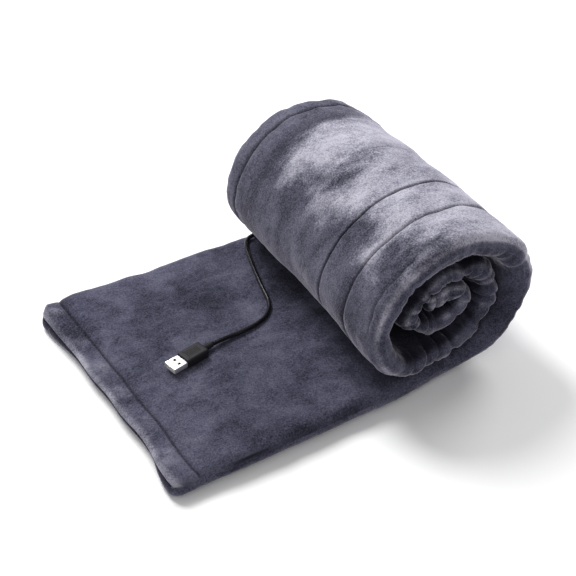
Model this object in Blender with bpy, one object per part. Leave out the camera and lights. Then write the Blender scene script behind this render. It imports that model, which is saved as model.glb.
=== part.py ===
"""Heated plush throw with a USB lead, folded lengthwise and half rolled up.

The cloth is one long sheet. Both long sides are folded under until they meet, which makes a band
of two plies, and the band is rolled from one end. Seen from the near end, the flap lies to the left
on the floor and runs under the roll, up its right side and over the top. Metres, +Z up, Y along
the roll's axis, floor at z = 0.
"""
import math

import bmesh
import bpy
from mathutils import Matrix, Vector

# ---------------------------------------------------------------- driving dimensions
BAND_WIDTH = 0.210          # the folded band, along Y
BAND_THICK = 0.019          # two plies of cloth
SIDE = BAND_WIDTH / 2
MEET_Y = -0.038             # where the two folded-under sides meet, on the underside
MEET_GAP = 0.0005           # half the slit between them

FREE_EDGE_X = -0.1482       # the flap's free edge
LIFT_X = -0.113             # the fold line of the free edge, across the flap
ROLL_X = 0.0757             # the roll's axis
ROLL_HALF_LENGTH = 0.077    # outer half width of the first turn, at the floor
ROLL_HALF_HEIGHT = 0.0675   # and its half height: the roll sags a little under its own weight
PITCH = 0.0198              # how much each turn is smaller than the one outside it
STEP = math.radians(24)     # between stations round the roll
END_STATION = 37            # 2.5 turns, where the band's end straightens into the core
HEM_STATION = 34            # the inner hem starts here
TAIL = Vector((-0.014, 0, -0.005))  # the straight end of the band, across the core
COVER_JOINS = (2, 17)       # stations where the outer cover's three lengths meet
JOIN_GAP = 0.05             # of a station, left where lengths of the cover meet

GAP = 0.0003                # left between pieces that touch
COVER = 0.0032              # outer plush cover
CARRIER = (0.0035, 0.0045)  # depth of the heating carrier below the band's surface
WIRE_DEPTH = 0.0058         # depth of the wires' centres
BACKING = (0.0071, 0.0093)  # depth of the inner plush cover
HEM_SHELL = 0.0045          # the turned hem at the free edge
FOLD_SEGMENTS = 4           # of each folded side's half round

WIRE_RADIUS = 0.0006
SPLICE_RADIUS = 0.0010
THREAD_RADIUS = 0.00035
WIRE_Y = (0.075, -0.085)    # ends of the heating wire's runs
LEAD_Y = 0.088              # supply lead
RETURN_Y = 0.0825           # return lead, with the cut-off
LEAD_X = 0.036              # where both leads meet the cord's exit
CUTOFF = (0.010, 0.004, 0.002)
CUTOFF_X = 0.053
WIRE_START_X = -0.100
WIRE_FLAP_RUNS = 8          # runs of wire in the flat flap
WIRE_ROLL_STATIONS = 11     # and stations round the roll with a run each

HEM_SEAM_X = -0.1325        # stitching of the free edge's hem
NEAR_SEAM_Y = -0.069        # stitching of the near side's hem, on the roll
FAR_SEAM_Y = 0.088          # stitching close to the far side
SEAM_STATIONS = (2, 12)

CORD_RADIUS = 0.0017
SLEEVE_RADII = (0.0029, 0.0024)
SLEEVE_X = (0.0445, 0.0365)
SLEEVE_Y = 0.0995
SLEEVE_Z = BAND_THICK + GAP + SLEEVE_RADII[0]
CORD_Z = BAND_THICK + GAP + CORD_RADIUS

PLUG_BASE = Vector((-0.0895, -0.0066, 0.0233))
PLUG_YAW = math.radians(190)
MOULD = (0.020, 0.0135, 0.0080)
RELIEF_LENGTH = 0.008
RELIEF_RADII = (0.0021, 0.0030)
SHELL = (0.0115, 0.0120, 0.0045)
SHELL_WALL = 0.0003
LATCH = (0.0023, 0.0020)
LATCH_Y = 0.0027
TONGUE = (0.0100, 0.0108, 0.0018)
TONGUE_Z = -0.00075
CONTACT = (0.0072, 0.0011, 0.0002)
CONTACT_PITCH = 0.0024

# Centre line of the lead, from its exit sleeve to the plug's strain relief.
CORD_ROUTE = [
    (0.0358, 0.0995, SLEEVE_Z), (0.0320, 0.0992, 0.0216), (0.0280, 0.0968, CORD_Z),
    (0.0250, 0.0925, CORD_Z), (0.0222, 0.0870, CORD_Z), (0.0200, 0.0812, CORD_Z),
    (0.0151, 0.0658, CORD_Z), (0.0100, 0.0490, CORD_Z), (0.0060, 0.0345, CORD_Z),
    (0.0028, 0.0228, CORD_Z), (-0.0022, 0.0136, CORD_Z), (-0.0100, 0.0066, CORD_Z),
    (-0.0204, 0.0029, CORD_Z), (-0.0313, 0.0015, CORD_Z), (-0.0420, 0.0012, CORD_Z),
]
CORD_LAST = (0.0085, 0.0010)    # its last route point: distance behind the relief, and below it


# ---------------------------------------------------------------- helpers
def clear_scene():
    for item in list(bpy.data.objects):
        bpy.data.objects.remove(item, do_unlink=True)


def collection(name):
    made = bpy.data.collections.new(name)
    bpy.context.scene.collection.children.link(made)
    return made


def material(name, colour, roughness, metallic=0.0):
    made = bpy.data.materials.new(name)
    made.use_nodes = True
    shader = made.node_tree.nodes["Principled BSDF"]
    shader.inputs["Base Color"].default_value = (*colour, 1.0)
    shader.inputs["Roughness"].default_value = roughness
    shader.inputs["Metallic"].default_value = metallic
    return made


def add_object(name, data, finish, group):
    data.materials.append(finish)
    made = bpy.data.objects.new(name, data)
    group.objects.link(made)
    return made


def flap_point(x):
    """A station on the flat flap: depth 0 is its underside."""
    return lambda y, depth: Vector((x, y, depth))


def roll_point(station):
    """A station round the roll: depth 0 is the band's outer side, and station 0 is the floor."""
    angle = station * STEP
    shrink = PITCH * angle / (2 * math.pi)

    def place(y, depth):
        return Vector((ROLL_X + (ROLL_HALF_LENGTH - shrink - depth) * math.sin(angle), y,
                       ROLL_HALF_HEIGHT - (ROLL_HALF_HEIGHT - shrink - depth) * math.cos(angle)))

    return place


def tail_point():
    """The band's very end, straight on from its last station."""
    last = roll_point(END_STATION)
    return lambda y, depth: last(y, depth) + TAIL


def fold_line(depth):
    """The folded band's section at one depth below its surface, from slit to slit."""
    radius = BAND_THICK / 2 - depth
    centre = SIDE - BAND_THICK / 2
    points = [(MEET_Y + MEET_GAP, depth)]
    for side in (1, -1):
        for index in range(FOLD_SEGMENTS + 1):
            angle = -side * math.pi / 2 + side * math.pi * index / FOLD_SEGMENTS
            points.append((side * (centre + radius * math.cos(angle)),
                           BAND_THICK / 2 + radius * math.sin(angle)))
    points.append((MEET_Y - MEET_GAP, depth))
    return points


def fold_sheet(name, stations, outer, inner, finish, group):
    """A sheet folded round the band's section, lofted along the stations."""
    near, far = fold_line(outer), fold_line(inner)
    count = len(near)
    mesh = bmesh.new()
    rings = [[mesh.verts.new(place(y, depth)) for y, depth in near + far] for place in stations]
    loop = list(range(count)) + list(range(2 * count - 1, count - 1, -1))
    for first, second in zip(rings, rings[1:]):
        for a, b in zip(loop, loop[1:] + loop[:1]):
            mesh.faces.new((first[a], first[b], second[b], second[a]))
    for ring in (rings[0], rings[-1]):
        for index in range(count - 1):
            mesh.faces.new((ring[index], ring[index + 1], ring[count + index + 1], ring[count + index]))
    bmesh.ops.recalc_face_normals(mesh, faces=mesh.faces)
    data = bpy.data.meshes.new(name)
    mesh.to_mesh(data)
    mesh.free()
    return add_object(name, data, finish, group)


def tube(name, points, radius, resolution, finish, group):
    """A wire, thread or cord: a poly line with a round bevel and filled ends."""
    data = bpy.data.curves.new(name, "CURVE")
    data.dimensions = "3D"
    data.bevel_depth = radius
    data.bevel_resolution = resolution
    data.use_fill_caps = True
    spline = data.splines.new("POLY")
    spline.points.add(len(points) - 1)
    for slot, point in zip(spline.points, points):
        slot.co = (*point, 1.0)
    return add_object(name, data, finish, group)


def box(name, size, centre, finish, group, bevel=0.0):
    mesh = bmesh.new()
    bmesh.ops.create_cube(mesh, size=1.0, matrix=Matrix.Diagonal((*size, 1.0)))
    if bevel:
        bmesh.ops.bevel(mesh, geom=mesh.edges[:], offset=bevel, segments=2, affect="EDGES", profile=0.5)
    bmesh.ops.translate(mesh, verts=mesh.verts, vec=centre)
    data = bpy.data.meshes.new(name)
    mesh.to_mesh(data)
    mesh.free()
    return add_object(name, data, finish, group)


def cone_along_x(name, x_range, radii, segments, finish, group):
    """A tapered round piece along X, with its first radius at the first x."""
    mesh = bmesh.new()
    length = x_range[1] - x_range[0]
    bmesh.ops.create_cone(mesh, cap_ends=True, segments=segments, radius1=radii[0], radius2=radii[1],
                          depth=abs(length))
    turn = Matrix.Rotation(math.copysign(math.pi / 2, length), 4, "Y")
    bmesh.ops.transform(mesh, verts=mesh.verts, matrix=turn)
    bmesh.ops.translate(mesh, verts=mesh.verts, vec=(sum(x_range) / 2, 0, 0))
    data = bpy.data.meshes.new(name)
    mesh.to_mesh(data)
    mesh.free()
    return add_object(name, data, finish, group)


def cut(target, cutter):
    cutter.hide_render = True
    cutter.display_type = "WIRE"
    modifier = target.modifiers.new(cutter.name, "BOOLEAN")
    modifier.operation = "DIFFERENCE"
    modifier.object = cutter


def smooth_route(points, spacing):
    """Points of a smooth curve through the route's own points, about one spacing apart."""
    route = [Vector(point) for point in points]
    padded = [route[0] * 2 - route[1]] + route + [route[-1] * 2 - route[-2]]
    made = [route[0]]
    for before, start, end, after in zip(padded, padded[1:], padded[2:], padded[3:]):
        steps = max(1, round((end - start).length / spacing))
        for index in range(1, steps + 1):
            t = index / steps
            made.append(0.5 * (2 * start + (end - before) * t
                               + (2 * before - 5 * start + 4 * end - after) * t * t
                               + (3 * start - before - 3 * end + after) * t ** 3))
    return made


# ---------------------------------------------------------------- cloth
def make_cloth(group, plush, carrier_cloth):
    flap = [flap_point(LIFT_X), flap_point(-0.02)]

    def turns(first, last):
        return [roll_point(index) for index in range(first, last)] + [roll_point(last - JOIN_GAP)]

    whole = flap + turns(0, HEM_STATION)
    outer, inner = COVER_JOINS
    fold_sheet("face_cover_flap", flap + turns(0, outer), 0.0, COVER, plush, group)
    fold_sheet("face_cover_outer_turn", turns(outer, inner), 0.0, COVER, plush, group)
    fold_sheet("face_cover_inner_turn", turns(inner, HEM_STATION), 0.0, COVER, plush, group)
    fold_sheet("heating_carrier", whole, *CARRIER, carrier_cloth, group)
    fold_sheet("back_cover", whole, *BACKING, plush, group)
    hem = [roll_point(index) for index in range(HEM_STATION, END_STATION + 1)] + [tail_point()]
    fold_sheet("core_end_hem", hem, 0.0, BACKING[1], plush, group)
    edge = [flap_point(FREE_EDGE_X), flap_point(LIFT_X - GAP)]
    fold_sheet("free_edge_hem", edge, 0.0, HEM_SHELL, plush, group)
    fold_sheet("free_edge_backing", edge, HEM_SHELL + GAP, BACKING[1], plush, group)


def make_threads(group, thread):
    above = BAND_THICK + GAP + THREAD_RADIUS
    ends = SIDE - BAND_THICK / 2
    tube("free_edge_thread", [(HEM_SEAM_X, -ends, above), (HEM_SEAM_X, ends, above)],
         THREAD_RADIUS, 1, thread, group)
    for name, y in (("near_side_thread", NEAR_SEAM_Y), ("far_side_thread", FAR_SEAM_Y)):
        points = [roll_point(index)(y, -(GAP + THREAD_RADIUS)) for index in range(*SEAM_STATIONS)]
        tube(name, points, THREAD_RADIUS, 1, thread, group)


# ---------------------------------------------------------------- heating circuit
def make_heating(group, carbon, copper, plastic):
    """One carbon wire in runs along Y between carrier and inner cover, with its leads and cut-off."""
    depth = BAND_THICK - WIRE_DEPTH
    spacing = (ROLL_X - WIRE_START_X) / WIRE_FLAP_RUNS
    places = [flap_point(WIRE_START_X + spacing * index) for index in range(WIRE_FLAP_RUNS)]
    places += [roll_point(index) for index in range(WIRE_ROLL_STATIONS + 1)]
    wire = []
    for index, place in enumerate(places):
        start, end = WIRE_Y if index % 2 == 0 else reversed(WIRE_Y)
        wire += [place(start, depth), place(end, depth)]
    tube("heating_wire", wire, WIRE_RADIUS, 1, carbon, group)

    splice_start = WIRE_Y[0] + GAP + 0.0005
    splice_end = splice_start + 0.0065
    first, last = places[0], places[-1]
    tube("supply_splice", [first(splice_start, depth), first(splice_end, depth)],
         SPLICE_RADIUS, 1, plastic, group)
    tube("supply_lead", [(LEAD_X, LEAD_Y, depth), first(LEAD_Y, depth),
                         first(splice_end + GAP, depth)], WIRE_RADIUS, 1, copper, group)
    tube("return_splice", [last(splice_start, depth), last(RETURN_Y - GAP - WIRE_RADIUS - 0.0003, depth)],
         SPLICE_RADIUS, 1, plastic, group)

    cutoff_start = CUTOFF_X - CUTOFF[0] / 2
    cutoff_end = CUTOFF_X + CUTOFF[0] / 2
    box("thermal_cutoff", CUTOFF, (CUTOFF_X, RETURN_Y, depth), plastic, group)
    tube("return_lead", [(LEAD_X, RETURN_Y, depth), (cutoff_start - GAP, RETURN_Y, depth)],
         WIRE_RADIUS, 1, copper, group)
    link = [Vector((cutoff_end + GAP, RETURN_Y, depth))]
    link += [roll_point(index)(RETURN_Y, depth) for index in range(WIRE_ROLL_STATIONS + 1)]
    tube("cutoff_lead", link, WIRE_RADIUS, 1, copper, group)


# ---------------------------------------------------------------- lead and plug
def make_cord(group, rubber, cord_vinyl):
    sleeve = cone_along_x("cord_exit_sleeve", SLEEVE_X, SLEEVE_RADII, 12, rubber, group)
    sleeve.location = (0, SLEEVE_Y, SLEEVE_Z)
    to_world = plug_matrix()
    relief_end = -(MOULD[0] + RELIEF_LENGTH + 3 * GAP)
    ends = [to_world @ Vector((relief_end - CORD_LAST[0], 0, -CORD_LAST[1])),
            to_world @ Vector((relief_end, 0, 0))]
    points = smooth_route(CORD_ROUTE + ends, 5 * CORD_RADIUS)
    tube("power_cord", points, CORD_RADIUS, 2, cord_vinyl, group)


def plug_matrix():
    return Matrix.Translation(PLUG_BASE) @ Matrix.Rotation(PLUG_YAW, 4, "Z")


def make_plug(group, cutters, moulded, steel, insulator, gold):
    """The USB plug, along its own +X from the moulding's front face at x = 0 to the shell's mouth."""
    made = [box("plug_overmould", MOULD, (-MOULD[0] / 2, 0, 0), moulded, group, bevel=0.0012)]
    back = -(MOULD[0] + GAP)
    made.append(cone_along_x("plug_strain_relief", (back - RELIEF_LENGTH, back), RELIEF_RADII, 12,
                             moulded, group))
    shell_x = GAP + SHELL[0] / 2
    shell = box("plug_shell", SHELL, (shell_x, 0, 0), steel, group)
    inside = (SHELL[0] + 0.004, SHELL[1] - 2 * SHELL_WALL, SHELL[2] - 2 * SHELL_WALL)
    made += [shell, box("shell_bore_cutter", inside, (shell_x, 0, 0), steel, cutters)]
    cut(shell, made[-1])
    for side, y in (("left", LATCH_Y), ("right", -LATCH_Y)):
        window = (*LATCH, 2 * SHELL[2])
        made.append(box(f"latch_cutter_{side}", window, (shell_x - 0.0008, y, 0), steel, cutters))
        cut(shell, made[-1])
    tongue_x = GAP + 0.0004 + TONGUE[0] / 2
    made.append(box("plug_tongue", TONGUE, (tongue_x, 0, TONGUE_Z), insulator, group))
    contact_z = TONGUE_Z + TONGUE[2] / 2 + 0.0001 + CONTACT[2] / 2
    for index, name in enumerate(("supply", "data_minus", "data_plus", "ground")):
        y = (index - 1.5) * CONTACT_PITCH
        made.append(box(f"contact_{name}", CONTACT, (tongue_x, y, contact_z), gold, group))
    for piece in made:
        piece.matrix_world = plug_matrix()


def main():
    clear_scene()
    group = collection("heated_throw")
    cutters = collection("cutters")
    plush = material("slate_plush", (0.075, 0.075, 0.110), 0.95)
    carrier_cloth = material("nonwoven_carrier", (0.55, 0.55, 0.53), 0.9)
    thread = material("polyester_thread", (0.045, 0.045, 0.060), 0.7)
    carbon = material("carbon_wire", (0.02, 0.02, 0.02), 0.6)
    copper = material("insulated_lead", (0.25, 0.03, 0.03), 0.5)
    plastic = material("heat_shrink", (0.04, 0.04, 0.04), 0.5)
    cord_vinyl = material("cord_vinyl", (0.010, 0.010, 0.013), 0.4)
    moulded = material("moulded_vinyl", (0.010, 0.010, 0.013), 0.55)
    steel = material("nickel_steel", (0.85, 0.85, 0.86), 0.2, 1.0)
    insulator = material("white_insulator", (0.80, 0.80, 0.78), 0.5)
    gold = material("gold_contact", (0.95, 0.72, 0.35), 0.25, 1.0)
    make_cloth(group, plush, carrier_cloth)
    make_threads(group, thread)
    make_heating(group, carbon, copper, plastic)
    make_cord(group, moulded, cord_vinyl)
    make_plug(group, cutters, moulded, steel, insulator, gold)


main()
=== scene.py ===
"""Heated plush throw, half rolled: the finished surfaces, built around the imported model."""
import math

import bmesh
import bpy
import numpy as np
from bpy.props import FloatProperty, FloatVectorProperty, PointerProperty, StringProperty
from mathutils import Matrix, Vector


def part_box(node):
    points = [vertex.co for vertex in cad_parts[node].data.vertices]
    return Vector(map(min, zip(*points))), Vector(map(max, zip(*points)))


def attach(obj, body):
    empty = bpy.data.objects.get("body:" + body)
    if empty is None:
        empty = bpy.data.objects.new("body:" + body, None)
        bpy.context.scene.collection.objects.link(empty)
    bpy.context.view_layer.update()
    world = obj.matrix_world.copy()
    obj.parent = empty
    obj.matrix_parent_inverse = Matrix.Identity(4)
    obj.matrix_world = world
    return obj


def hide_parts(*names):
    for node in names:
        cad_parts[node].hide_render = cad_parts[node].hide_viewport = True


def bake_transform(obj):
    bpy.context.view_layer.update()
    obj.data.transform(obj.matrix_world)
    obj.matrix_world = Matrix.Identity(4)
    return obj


bl_info = {
    "name": "Heated Throw",
    "version": (1, 0, 0),
    "blender": (4, 5, 0),
    "location": "View3D > Sidebar > Heated Throw",
    "description": "Builds a half-rolled plush heating throw with its USB lead",
    "category": "Add Mesh",
}

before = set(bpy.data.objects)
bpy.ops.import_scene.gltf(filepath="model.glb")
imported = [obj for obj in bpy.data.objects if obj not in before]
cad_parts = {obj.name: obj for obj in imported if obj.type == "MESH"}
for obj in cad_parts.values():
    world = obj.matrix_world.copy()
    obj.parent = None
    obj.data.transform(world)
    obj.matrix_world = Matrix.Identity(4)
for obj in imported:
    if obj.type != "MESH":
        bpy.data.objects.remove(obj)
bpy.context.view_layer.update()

MM = 0.001

# ---------------------------------------------------------------- the frame's own places
HEM_LOW, HEM_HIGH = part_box("free_edge_hem")
CARRIER_LOW, CARRIER_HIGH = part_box("heating_carrier")
FREE_EDGE_X = HEM_LOW.x
SIDE = HEM_HIGH.y
THICK = HEM_HIGH.z
HALF_THICK = THICK / 2
FOLD_Y = SIDE - HALF_THICK  # where the half rounds of the folded sides begin

# the roll, as the frame's cloth runs: an ellipse that shrinks by one pitch each turn
ROLL_X = 0.0757
ROLL_HALF_LENGTH = 0.077
ROLL_HALF_HEIGHT = 0.0675
PITCH = 0.0198
TURNS = 37 * 24 / 360  # the frame's cloth has 37 lengths of 24 degrees, and its carrier 34
CARRIER_TURNS = 34 * 24 / 360
TAIL = Vector((-0.014, 0, -0.005))  # the band's straight end, across the core
MEET_Y = -0.038  # where the two turned-under sides meet, on the outer side
HEM_SEAM_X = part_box("free_edge_thread")[0].x
NEAR_SEAM_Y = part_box("near_side_thread")[0].y
FAR_SEAM_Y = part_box("far_side_thread")[0].y
RIM_SEAM_Y = -SIDE + 11 * MM  # the short row inside the roll's near rim

# the cloth itself
PLY_HALF = 4.6 * MM  # half of one ply, pile included
LIP = 5 * MM  # how far back from a cut or folded lip the cloth rounds over
LIP_PLACES = np.linspace(0, 1, 7)[:-1] ** 1.6 * LIP  # closest at the lip itself
FOLD_REACH = 12 * MM  # how far the folded sides' creases reach over the plies
# hollows at the roll's near mouth: the turn that each lies at, the turns that it reaches over, and its depth
HOLLOWS = ((1.64, 0.13, 10.0 * MM), (1.88, 0.06, 7.0 * MM), (1.43, 0.035, 8.0 * MM), (1.14, 0.05, 2.5 * MM),
           (2.30, 0.16, 4.5 * MM))

# centre line of the lead, from its exit sleeve to the plug's strain relief
SLEEVE_LOW, SLEEVE_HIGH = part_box("cord_exit_sleeve")
SLEEVE_Z = (SLEEVE_LOW.z + SLEEVE_HIGH.z) / 2
CORD_RADIUS = 1.7 * MM
CORD_Z = THICK + 2.0 * MM
CORD_ROUTE = [
    (0.0358, 0.0995, SLEEVE_Z), (0.0320, 0.0992, 0.0216), (0.0280, 0.0968, CORD_Z),
    (0.0250, 0.0925, CORD_Z), (0.0222, 0.0870, CORD_Z), (0.0200, 0.0812, CORD_Z),
    (0.0151, 0.0658, CORD_Z), (0.0100, 0.0490, CORD_Z), (0.0060, 0.0345, CORD_Z),
    (0.0028, 0.0228, CORD_Z), (-0.0022, 0.0136, CORD_Z), (-0.0100, 0.0066, CORD_Z),
    (-0.0204, 0.0029, CORD_Z), (-0.0313, 0.0015, CORD_Z), (-0.0420, 0.0012, CORD_Z),
]
PLUG_BASE = Vector((-0.0895, -0.0066, 0.0233))
PLUG_YAW = math.radians(190)
MOULD = Vector((0.020, 0.0135, 0.0080))  # length, width and height of the plug's moulding
RELIEF_LENGTH = 8 * MM
CORD_END = Vector((-(MOULD.x + RELIEF_LENGTH + 0.9 * MM), 0, 0))  # in the plug's own frame
CORD_RISE = Vector((-8.5 * MM, 0, -1.0 * MM))  # back from there to where the lead starts to rise


def linear(hexcode):
    """An sRGB hex colour as linear RGBA."""
    parts = [int(hexcode.lstrip("#")[i:i + 2], 16) / 255 for i in (0, 2, 4)]
    return [c / 12.92 if c <= 0.04045 else ((c + 0.055) / 1.055) ** 2.4 for c in parts] + [1.0]


def smoothstep(low, high, value):
    """An eased step, 0 at low and 1 at high."""
    t = np.clip((value - low) / (high - low), 0, 1)
    return t * t * (3 - 2 * t)


def hump(value, place, width):
    """A smooth hump, 1 at its place."""
    return np.exp(-((value - place) / width) ** 2)


# ---------------------------------------------------------------- settings
class ThrowSettings(bpy.types.PropertyGroup):
    """Sizes and colours of the cloth."""
    cell: FloatProperty(name="Cell", description="Spacing of the cloth's mesh along the band",
                        default=2.0 * MM, min=0.5 * MM, unit="LENGTH")
    pucker: FloatProperty(name="Pucker", description="Depth of the creases on the folded sides",
                          default=3.3 * MM, min=0, unit="LENGTH")
    seam: FloatProperty(name="Seam depth", description="How far the stitching pulls the pile in",
                        default=1.7 * MM, min=0, unit="LENGTH")
    swell: FloatProperty(name="Swell", description="Height of the cloth's slow waves",
                         default=0.9 * MM, min=0, unit="LENGTH")
    dark: StringProperty(name="Dark pile", description="Pile brushed away from the light", default="#25252F")
    mid: StringProperty(name="Pile", description="The plush's own colour", default="#434354")
    light: StringProperty(name="Light pile", description="Pile brushed towards the light", default="#5B5B6B")
    # the outer colour is the painted highlights' colour, on the roll's crest and along edges and folds
    outer: StringProperty(name="Outer side", description="The throw's paler outer side", default="#B6B4C0")


class LeadSettings(bpy.types.PropertyGroup):
    """Sizes and colours of the lead and its plug."""
    radius: FloatProperty(name="Radius", description="Half the lead's diameter", default=CORD_RADIUS,
                          min=0.5 * MM, unit="LENGTH")
    vinyl: StringProperty(name="Vinyl", description="Colour of the lead and the moulding", default="#121116")
    steel: StringProperty(name="Shell", description="Colour of the plated shell", default="#E4E4E6")


class StageSettings(bpy.types.PropertyGroup):
    """Floor, light and camera."""
    floor: StringProperty(name="Floor", description="Colour of the floor", default="#FCFCFC")
    key: FloatProperty(name="Key light", description="Power of the main light", default=30.0, unit="POWER")
    sky: FloatProperty(name="Sky", description="Brightness of the light from all round", default=0.38)
    camera: FloatVectorProperty(name="Camera", description="Where the camera stands",
                                default=(-0.4729, -0.7568, 0.7620), subtype="TRANSLATION", unit="LENGTH")
    aim: FloatVectorProperty(name="Aim", description="The point at the middle of the view",
                             default=(0.0433, 0.0581, -0.0084), subtype="TRANSLATION", unit="LENGTH")
    lens: FloatProperty(name="Lens", description="Focal length of the camera in millimetres", default=94.9)


# ---------------------------------------------------------------- node helper
def add(tree, kind, settings=None, **links):
    """Adds one node: settings are its own properties, and links are socket values or other nodes' sockets."""
    node = tree.nodes.new(kind)
    for key, value in (settings or {}).items():
        setattr(node, key, value)
    for key, value in links.items():
        name = key.replace("_", " ")
        socket = node.inputs[int(key[1:])] if key[0] == "i" and key[1:].isdigit() else node.inputs[name]
        if isinstance(value, bpy.types.NodeSocket):
            tree.links.new(value, socket)
        else:
            socket.default_value = value
    return node


def new_material(name):
    made = bpy.data.materials.new(name)
    made.use_nodes = True
    tree = made.node_tree
    return made, tree, tree.nodes["Principled BSDF"]


def link(tree, out, node, name):
    tree.links.new(out, node.inputs[name])


# ---------------------------------------------------------------- materials
def brushed_plush():
    """Polyester plush, knitted and sheared: a soft pile in brushed strokes, with painted highlights and painted
    shade.
    """
    wants = bpy.context.scene.heated_throw
    made, tree, shader = new_material("brushed_polyester_plush")
    place = add(tree, "ShaderNodeTexCoord").outputs["Object"]
    band = add(tree, "ShaderNodeAttribute", {"attribute_name": "band_place"}).outputs["Vector"]
    painted_crest_highlight, rim, shaded = (add(tree, "ShaderNodeAttribute", {"attribute_name": name}).outputs["Fac"]
                        for name in ("painted_crest_highlight", "rim", "shade"))

    # soft strokes of about 40 by 28 mm, drawn out along the band, and finger-wide ones inside them
    drawn = add(tree, "ShaderNodeMapping", Vector=band, Scale=(0.7, 1.0, 1.0)).outputs["Vector"]
    strokes = add(tree, "ShaderNodeTexNoise", Vector=drawn, Scale=1 / (28 * MM), Detail=2.0, Roughness=0.5,
                  Distortion=0.5).outputs["Fac"]
    fingers = add(tree, "ShaderNodeTexNoise", Vector=drawn, Scale=1 / (9 * MM), Detail=3.0, Roughness=0.6,
                  Distortion=0.4).outputs["Fac"]
    # single fibres are too fine to show, so the pile is drawn as tufts of 1.2 mm, in clumps of 3 mm
    tufts = add(tree, "ShaderNodeTexNoise", Vector=place, Scale=1 / (1.2 * MM), Detail=2.0,
                Roughness=0.75).outputs["Fac"]
    clumps = add(tree, "ShaderNodeTexNoise", Vector=place, Scale=1 / (3.2 * MM), Detail=2.0,
                 Roughness=0.6).outputs["Fac"]

    # how light the pile is: mostly the strokes, then the tufts' sparkle
    broad = add(tree, "ShaderNodeMapRange", i0=strokes, i1=0.30, i2=0.70).outputs["Result"]
    fine = add(tree, "ShaderNodeMapRange", i0=fingers, i1=0.28, i2=0.72).outputs["Result"]
    both = add(tree, "ShaderNodeMix", {"data_type": "FLOAT"}, i0=0.38, i2=broad, i3=fine).outputs[0]
    speck = add(tree, "ShaderNodeMapRange", i0=tufts, i1=0.28, i2=0.72, i3=-0.45, i4=0.45).outputs["Result"]
    lump = add(tree, "ShaderNodeMapRange", i0=clumps, i1=0.3, i2=0.7, i3=-0.10, i4=0.10).outputs["Result"]
    rough = add(tree, "ShaderNodeMath", {"operation": "ADD"}, i0=speck, i1=lump).outputs[0]
    brushed = add(tree, "ShaderNodeMath", {"operation": "ADD"}, i0=both, i1=rough).outputs[0]

    ramp = add(tree, "ShaderNodeValToRGB", i0=brushed)
    stops = ramp.color_ramp.elements
    stops[0].position, stops[1].position = 0.05, 1.0
    stops[0].color, stops[1].color = linear(wants.dark), linear(wants.light)
    middle = stops.new(0.52)
    middle.color = linear(wants.mid)
    # painted highlight colours, from the light pile up to the outer colour
    highlight_ramp = add(tree, "ShaderNodeValToRGB", i0=brushed)
    pale = highlight_ramp.color_ramp.elements
    pale[0].position, pale[1].position = 0.0, 0.95
    pale[0].color, pale[1].color = linear(wants.light), linear(wants.outer)

    # the painted highlight on the roll's crest gets a ragged edge from the strokes, fingers and tufts
    ragged = painted_crest_highlight
    for pattern, share in ((strokes, 1.25), (fingers, 0.45), (tufts, 0.3)):
        ragged = add(tree, "ShaderNodeMath", {"operation": "MULTIPLY_ADD"}, i0=pattern, i1=share,
                     i2=ragged).outputs[0]
    painted_crest_share = add(tree, "ShaderNodeMapRange", i0=ragged, i1=1.24, i2=1.76, i4=0.92).outputs["Result"]
    painted_highlight_share = add(tree, "ShaderNodeMath", {"operation": "MAXIMUM"}, i0=painted_crest_share, i1=rim).outputs[0]
    lit = add(tree, "ShaderNodeMix", {"data_type": "RGBA"}, i0=painted_highlight_share, i6=ramp.outputs["Color"],
              i7=highlight_ramp.outputs["Color"]).outputs[2]
    # painted shade: the shade attribute darkens the pile towards near black
    colour = add(tree, "ShaderNodeMix", {"data_type": "RGBA"}, i0=shaded, i6=lit,
                 i7=linear("#14141D")).outputs[2]
    link(tree, colour, shader, "Base Color")

    height = add(tree, "ShaderNodeMath", {"operation": "ADD"}, i0=tufts, i1=clumps).outputs[0]
    pile = add(tree, "ShaderNodeBump", Strength=0.5, Distance=0.7 * MM, Height=height).outputs["Normal"]
    lay = add(tree, "ShaderNodeBump", Strength=0.35, Distance=1.6 * MM, Height=fingers,
              Normal=pile).outputs["Normal"]
    link(tree, lay, shader, "Normal")
    shader.inputs["Roughness"].default_value = 0.95
    shader.inputs["Specular IOR Level"].default_value = 0.1
    shader.inputs["Sheen Weight"].default_value = 0.9
    shader.inputs["Sheen Roughness"].default_value = 0.30
    shader.inputs["Sheen Tint"].default_value = linear("#CFCBD8")
    return made


def sewing_thread():
    """Spun polyester thread, twisted: a faint sheen on a dark line."""
    made, tree, shader = new_material("spun_polyester_thread")
    place = add(tree, "ShaderNodeTexCoord").outputs["Object"]
    twist = add(tree, "ShaderNodeTexWave", {"bands_direction": "DIAGONAL"}, Vector=place, Scale=1 / (0.9 * MM),
                Distortion=0.4).outputs["Fac"]
    ramp = add(tree, "ShaderNodeValToRGB", i0=twist)
    ramp.color_ramp.elements[0].color = linear("#191820")
    ramp.color_ramp.elements[1].color = linear("#34333E")
    link(tree, ramp.outputs["Color"], shader, "Base Color")
    bump = add(tree, "ShaderNodeBump", Strength=0.5, Distance=0.1 * MM, Height=twist).outputs["Normal"]
    link(tree, bump, shader, "Normal")
    shader.inputs["Roughness"].default_value = 0.62
    return made


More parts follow.
